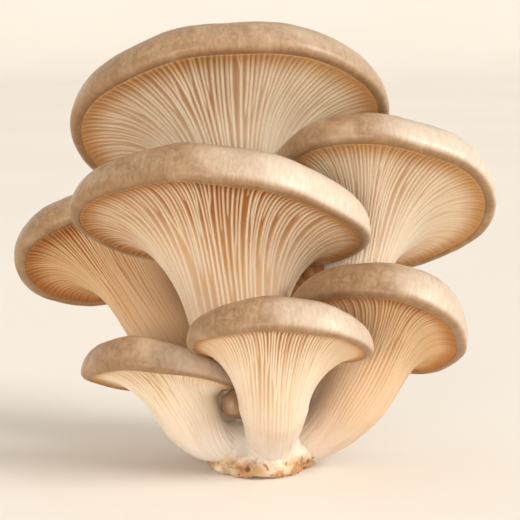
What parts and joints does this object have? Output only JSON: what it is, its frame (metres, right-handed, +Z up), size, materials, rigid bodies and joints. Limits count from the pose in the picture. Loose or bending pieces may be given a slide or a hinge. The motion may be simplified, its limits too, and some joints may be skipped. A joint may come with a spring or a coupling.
{
  "type": "oyster mushroom cluster",
  "caption": "Cluster of oyster mushrooms with broad gilled caps on short stems that leave one cut base and stand upright on it.",
  "frame": {"origin": "middle of the flat cut face that the cluster rests on", "axes": "+Z up; the gilled fronts of the caps face -Y; +X to the right seen from the front"},
  "size_m": [0.1517, 0.098, 0.1376],
  "materials": {
    "cut_base": "rough torn and cut mushroom flesh, cream with brown specks",
    "gill_flesh": "matte cream mushroom flesh",
    "cap_skin": "silky tan mushroom skin"
  },
  "bodies": {
    "root": {"cut_base": "cut_base", "young_mushroom": "cap_skin", "gills_and_stem_top": "gill_flesh", "cap_top": "cap_skin", "gills_and_stem_upper_right": "gill_flesh", "cap_upper_right": "cap_skin", "gills_and_stem_centre": "gill_flesh", "cap_centre": "cap_skin", "gills_and_stem_left": "gill_flesh", "cap_left": "cap_skin", "gills_and_stem_lower_right": "gill_flesh", "cap_lower_right": "cap_skin", "gills_and_stem_front": "gill_flesh", "cap_front": "cap_skin", "gills_and_stem_lower_left": "gill_flesh", "cap_lower_left": "cap_skin"}
  },
  "joints": []
}
